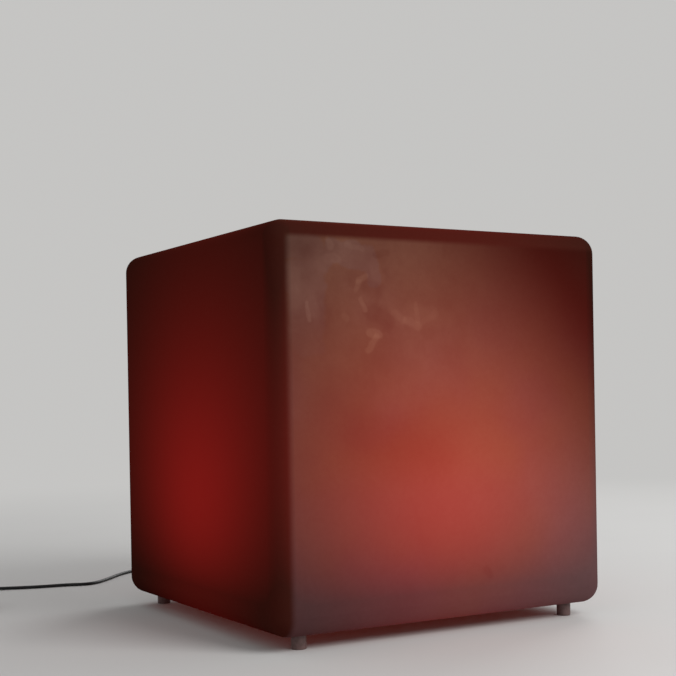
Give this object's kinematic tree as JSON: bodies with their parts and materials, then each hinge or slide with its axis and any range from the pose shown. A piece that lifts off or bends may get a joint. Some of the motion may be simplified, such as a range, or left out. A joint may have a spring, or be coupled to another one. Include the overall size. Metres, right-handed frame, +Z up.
{
  "type": "led cube light",
  "caption": "Hollow glowing cube lamp with rounded edges on short feet, a sealed rechargeable light unit in its underside and a charging lead with wall adapter.",
  "frame": {"origin": "on the floor, under the middle of the cube", "axes": "+Z up, the front face looks along -Y, +X to the right seen from the front; the lead leaves towards +Y"},
  "size_m": [0.591, 0.6649, 0.414],
  "materials": {
    "milky_shell": "satin translucent polyethylene, lit red from inside",
    "foot_plastic": "translucent whitish plastic",
    "steel": "plain stainless screw",
    "brass": "turned brass",
    "white_plastic": "fine matt moulded plastic",
    "silicone": "grey silicone seal",
    "aluminium_plate": "milled disc",
    "led_board_white": "white solder mask",
    "led_body": "lit resin window",
    "frosted_lens": "frosted diffuser",
    "cell_sleeve": "shrink sleeve",
    "black_plastic": "fine matt black plastic",
    "nickel": "nickel-plated strip",
    "foam": "closed-cell foam",
    "circuit_board": "green solder mask",
    "components": "moulded packages",
    "wire_sleeve": "insulated wire",
    "button_rubber": "grey button",
    "light_pipe_clear": "clear light guide",
    "green_led": "status lamp",
    "port_rubber": "flexible black rubber",
    "lead_sleeve": "smooth black lead sleeve",
    "tie_strap": "hook and loop strap"
  },
  "bodies": {
    "lamp": {"cube_shell": "milky_shell", "foot_front_left": "foot_plastic", "foot_front_right": "foot_plastic", "foot_rear_left": "foot_plastic", "foot_rear_right": "foot_plastic", "foot_inserts": "brass", "foot_screws": "steel", "unit_housing": "white_plastic", "flange_gasket": "silicone", "flange_inserts": "brass", "flange_screws": "steel", "bottom_cover": "white_plastic", "cover_gasket": "silicone", "cover_screws": "steel", "led_plate": "aluminium_plate", "led_board": "led_board_white", "leds": "led_body", "plate_screws": "steel", "lens_gasket": "silicone", "dome_lens": "frosted_lens", "lens_ring": "white_plastic", "lens_screws": "steel", "battery_tray": "black_plastic", "battery_cells": "cell_sleeve", "battery_contacts": "nickel", "battery_pad": "foam", "control_board": "circuit_board", "board_components": "components", "board_screws": "steel", "led_wires": "wire_sleeve", "battery_wires": "wire_sleeve", "charge_jack": "black_plastic", "jack_pin": "nickel", "button_switch": "black_plastic", "light_pipe": "light_pipe_clear", "status_led": "green_led", "port_cover_screw": "steel", "dc_plug": "black_plastic", "dc_plug_barrel": "nickel", "dc_plug_relief": "lead_sleeve", "lead": "lead_sleeve", "lead_coil": "lead_sleeve", "lead_tail": "lead_sleeve", "lead_tie": "tie_strap", "adapter_base": "black_plastic", "adapter_cover": "black_plastic", "adapter_pins": "nickel", "adapter_board": "circuit_board", "adapter_components": "components", "adapter_relief": "lead_sleeve"},
    "power_button": {"power_button": "button_rubber", "switch_plunger": "white_plastic"},
    "port_cover": {"port_cover": "port_rubber"}
  },
  "joints": [
    {"name": "button_press", "type": "slide", "parent": "lamp", "child": "power_button", "axis": [0, 0, 1], "range_m": [0, 0.001], "stiffness_N_per_m": 1500, "springref_m": -0.0006},
    {"name": "port_cover_swing", "type": "hinge", "parent": "lamp", "child": "port_cover", "pos_m": [0.027, 0.02, 0.01725], "axis": [0, 0, 1], "range_deg": [-120, 100]}
  ]
}
